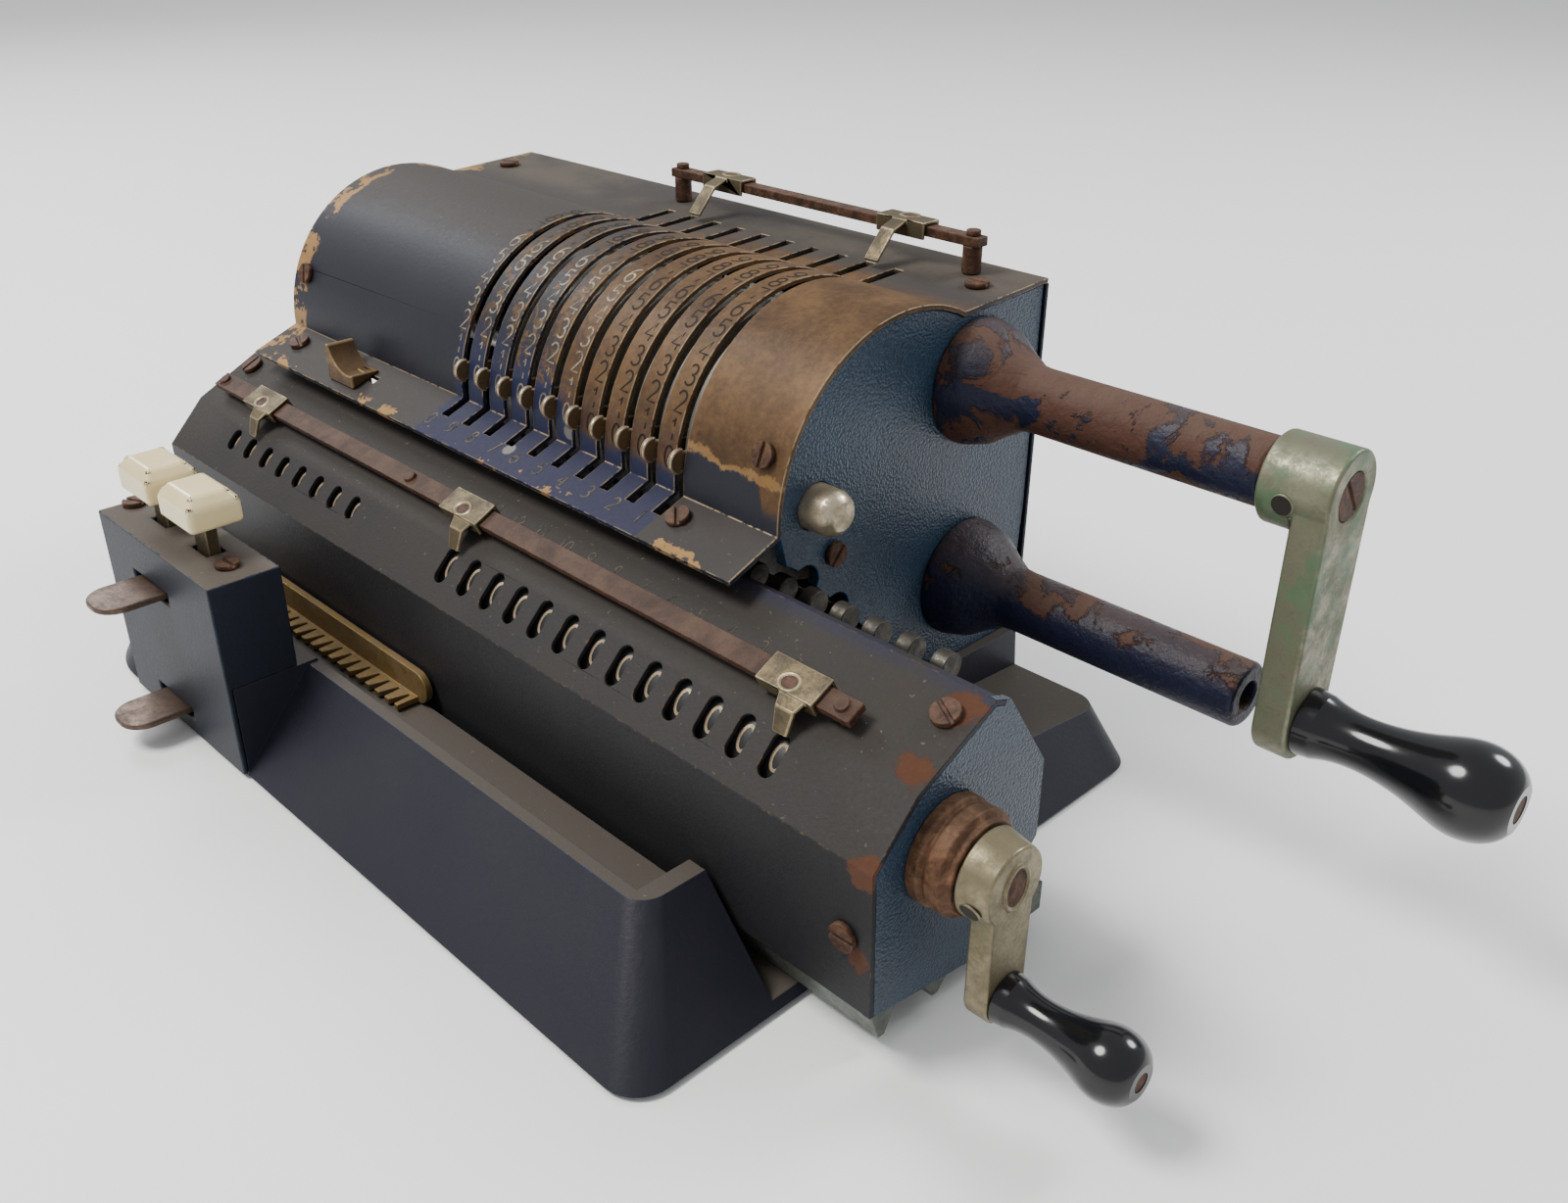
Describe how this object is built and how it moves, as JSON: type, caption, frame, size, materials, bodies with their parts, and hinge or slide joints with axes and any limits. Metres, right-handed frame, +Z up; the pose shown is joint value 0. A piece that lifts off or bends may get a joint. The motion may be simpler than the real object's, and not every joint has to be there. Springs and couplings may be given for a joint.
{
  "type": "mechanical calculating machine",
  "caption": "Hand-cranked pinwheel calculator with setting levers on a slotted drum cover, a shifting carriage of number windows, side crank, clearing crank, two keys and a flared cast base.",
  "frame": {"origin": "on the table under the middle of the base", "axes": "+X along the drum towards the crank side, +Y towards the back, +Z up"},
  "size_m": [0.3683, 0.1879, 0.1296],
  "materials": {
    "base_enamel": "worn dark blue enamel over cast iron, dusty on top",
    "cover_enamel": "charcoal blue enamel on pressed steel, worn to bronze at edges",
    "crinkle_enamel": "blue crinkle enamel",
    "rusty_steel": "steel with brown rust",
    "steel": "oiled bright steel",
    "runner_steel": "dull grey-green steel",
    "nickel": "worn nickel plate",
    "brass": "tarnished brass with traces of nickel",
    "ivory": "glossy ivory",
    "black_grip": "glossy black",
    "dial_white": "dark number wheels with pale digits",
    "rubber": "hard black rubber"
  },
  "bodies": {
    "frame": {"base_casting": "base_enamel", "base_feet": "rubber", "guide_rails": "steel", "side_plate_right": "crinkle_enamel", "side_plate_left": "crinkle_enamel", "tie_bars": "steel", "drum_cover": "cover_enamel", "rear_cover": "cover_enamel", "frame_screws": "rusty_steel", "crank_sleeve": "crinkle_enamel", "rest_stub": "crinkle_enamel", "rear_rail": "rusty_steel", "rear_rail_posts": "rusty_steel", "key_housing": "cover_enamel"},
    "crank": {"crank_shaft": "steel", "crank_gear": "brass", "crank_arm": "brass", "crank_screws": "rusty_steel"},
    "crank_grip": {"crank_grip": "black_grip"},
    "drum": {"drum_shaft": "steel", "drum_gear": "brass", "pinwheels": "brass"},
    "carriage": {"carriage_shell": "cover_enamel", "carriage_end_right": "crinkle_enamel", "carriage_end_left": "crinkle_enamel", "carriage_runner": "runner_steel", "carriage_screws": "rusty_steel", "rack_strip": "brass", "front_rail": "rusty_steel", "carry_levers": "nickel", "clear_bush": "rusty_steel"},
    "result_dials": {"result_dials": "dial_white"},
    "counter_dials": {"counter_dials": "dial_white"},
    "clear_crank": {"dial_shaft": "steel", "clear_crank_arm": "brass"},
    "clear_crank_grip": {"clear_crank_grip": "black_grip"},
    "counter_wing": {"counter_clear_wing": "rusty_steel"},
    "clearing_knob": {"clearing_knob": "nickel"},
    "thumb_tab": {"thumb_tab": "nickel"},
    "key_left": {"key_cap_left": "ivory", "key_stem_left": "nickel"},
    "key_right": {"key_cap_right": "ivory", "key_stem_right": "nickel"},
    "tab_upper": {"finger_tab_upper": "nickel"},
    "tab_lower": {"finger_tab_lower": "nickel"},
    "lever_01": {"setting_lever_01": "nickel"},
    "lever_02": {"setting_lever_02": "nickel"},
    "lever_03": {"setting_lever_03": "nickel"},
    "lever_04": {"setting_lever_04": "nickel"},
    "lever_05": {"setting_lever_05": "nickel"},
    "lever_06": {"setting_lever_06": "nickel"},
    "lever_07": {"setting_lever_07": "nickel"},
    "lever_08": {"setting_lever_08": "nickel"},
    "lever_09": {"setting_lever_09": "nickel"},
    "lever_10": {"setting_lever_10": "nickel"},
    "front_pointer_left": {"front_pointer_left": "nickel"},
    "front_pointer_middle": {"front_pointer_middle": "nickel"},
    "front_pointer_right": {"front_pointer_right": "nickel"},
    "rear_pointer_left": {"rear_pointer_left": "nickel"},
    "rear_pointer_right": {"rear_pointer_right": "nickel"}
  },
  "joints": [
    {"name": "crank_turn", "type": "hinge", "parent": "frame", "child": "crank", "pos_m": [0, 0.0589, 0.1], "axis": [1, 0, 0], "continuous": true},
    {"name": "crank_grip_spin", "type": "hinge", "parent": "crank", "child": "crank_grip", "pos_m": [0, 0.0589, 0.0484], "axis": [1, 0, 0], "continuous": true},
    {"name": "drum_turn", "type": "hinge", "parent": "frame", "child": "drum", "pos_m": [0, 0.0346, 0.0814], "axis": [1, 0, 0], "continuous": true},
    {"name": "lever_01_set", "type": "hinge", "parent": "drum", "child": "lever_01", "pos_m": [0, 0.0346, 0.0814], "axis": [-1, 0, 0], "range_deg": [0, 81]},
    {"name": "lever_02_set", "type": "hinge", "parent": "drum", "child": "lever_02", "pos_m": [0, 0.0346, 0.0814], "axis": [-1, 0, 0], "range_deg": [0, 81]},
    {"name": "lever_03_set", "type": "hinge", "parent": "drum", "child": "lever_03", "pos_m": [0, 0.0346, 0.0814], "axis": [-1, 0, 0], "range_deg": [0, 81]},
    {"name": "lever_04_set", "type": "hinge", "parent": "drum", "child": "lever_04", "pos_m": [0, 0.0346, 0.0814], "axis": [-1, 0, 0], "range_deg": [0, 81]},
    {"name": "lever_05_set", "type": "hinge", "parent": "drum", "child": "lever_05", "pos_m": [0, 0.0346, 0.0814], "axis": [-1, 0, 0], "range_deg": [0, 81]},
    {"name": "lever_06_set", "type": "hinge", "parent": "drum", "child": "lever_06", "pos_m": [0, 0.0346, 0.0814], "axis": [-1, 0, 0], "range_deg": [0, 81]},
    {"name": "lever_07_set", "type": "hinge", "parent": "drum", "child": "lever_07", "pos_m": [0, 0.0346, 0.0814], "axis": [-1, 0, 0], "range_deg": [0, 81]},
    {"name": "lever_08_set", "type": "hinge", "parent": "drum", "child": "lever_08", "pos_m": [0, 0.0346, 0.0814], "axis": [-1, 0, 0], "range_deg": [0, 81]},
    {"name": "lever_09_set", "type": "hinge", "parent": "drum", "child": "lever_09", "pos_m": [0, 0.0346, 0.0814], "axis": [-1, 0, 0], "range_deg": [0, 81]},
    {"name": "lever_10_set", "type": "hinge", "parent": "drum", "child": "lever_10", "pos_m": [0, 0.0346, 0.0814], "axis": [-1, 0, 0], "range_deg": [0, 81]},
    {"name": "carriage_shift", "type": "slide", "parent": "frame", "child": "carriage", "axis": [1, 0, 0], "range_m": [-0.0665, 0]},
    {"name": "clear_crank_turn", "type": "hinge", "parent": "carriage", "child": "clear_crank", "pos_m": [0, -0.025, 0.0443], "axis": [1, 0, 0], "continuous": true},
    {"name": "clear_crank_grip_spin", "type": "hinge", "parent": "clear_crank", "child": "clear_crank_grip", "pos_m": [0, -0.025, 0.018], "axis": [1, 0, 0], "continuous": true},
    {"name": "result_dials_turn", "type": "hinge", "parent": "carriage", "child": "result_dials", "pos_m": [0, -0.025, 0.0443], "axis": [1, 0, 0], "continuous": true},
    {"name": "counter_wing_turn", "type": "hinge", "parent": "carriage", "child": "counter_wing", "pos_m": [0, -0.025, 0.0443], "axis": [1, 0, 0], "continuous": true},
    {"name": "counter_dials_turn", "type": "hinge", "parent": "carriage", "child": "counter_dials", "pos_m": [0, -0.025, 0.0443], "axis": [1, 0, 0], "continuous": true},
    {"name": "clearing_knob_push", "type": "slide", "parent": "frame", "child": "clearing_knob", "axis": [-1, 0, 0], "range_m": [0, 0.004], "stiffness_N_per_m": 400, "springref_m": -0.002},
    {"name": "thumb_tab_slide", "type": "slide", "parent": "frame", "child": "thumb_tab", "axis": [1, 0, 0], "range_m": [-0.003, 0.003]},
    {"name": "key_left_press", "type": "slide", "parent": "frame", "child": "key_left", "axis": [0, 0, -1], "range_m": [0, 0.005], "stiffness_N_per_m": 300, "springref_m": -0.003},
    {"name": "key_right_press", "type": "slide", "parent": "frame", "child": "key_right", "axis": [0, 0, -1], "range_m": [0, 0.005], "stiffness_N_per_m": 300, "springref_m": -0.003},
    {"name": "tab_upper_swing", "type": "hinge", "parent": "frame", "child": "tab_upper", "pos_m": [-0.065, -0.0812, 0.0412], "axis": [1, 0, 0], "range_deg": [-6, 6], "stiffness_Nm_per_rad": 0.2},
    {"name": "tab_lower_swing", "type": "hinge", "parent": "frame", "child": "tab_lower", "pos_m": [-0.065, -0.0812, 0.007], "axis": [1, 0, 0], "range_deg": [-6, 6], "stiffness_Nm_per_rad": 0.2},
    {"name": "front_pointer_left_slide", "type": "slide", "parent": "carriage", "child": "front_pointer_left", "axis": [1, 0, 0], "range_m": [-0.0125, 0.066]},
    {"name": "front_pointer_middle_slide", "type": "slide", "parent": "carriage", "child": "front_pointer_middle", "axis": [1, 0, 0], "range_m": [-0.0125, 0.048]},
    {"name": "front_pointer_right_slide", "type": "slide", "parent": "carriage", "child": "front_pointer_right", "axis": [1, 0, 0], "range_m": [-0.047, 0.0028]},
    {"name": "rear_pointer_left_slide", "type": "slide", "parent": "frame", "child": "rear_pointer_left", "axis": [1, 0, 0], "range_m": [-0.004, 0.04]},
    {"name": "rear_pointer_right_slide", "type": "slide", "parent": "frame", "child": "rear_pointer_right", "axis": [1, 0, 0], "range_m": [-0.015, 0.009]}
  ],
  "couplings": [
    {"joint": "drum_turn", "follows": "crank_turn", "ratio": -1},
    {"joint": "result_dials_turn", "follows": "clear_crank_turn", "ratio": 1},
    {"joint": "counter_dials_turn", "follows": "counter_wing_turn", "ratio": 1}
  ]
}
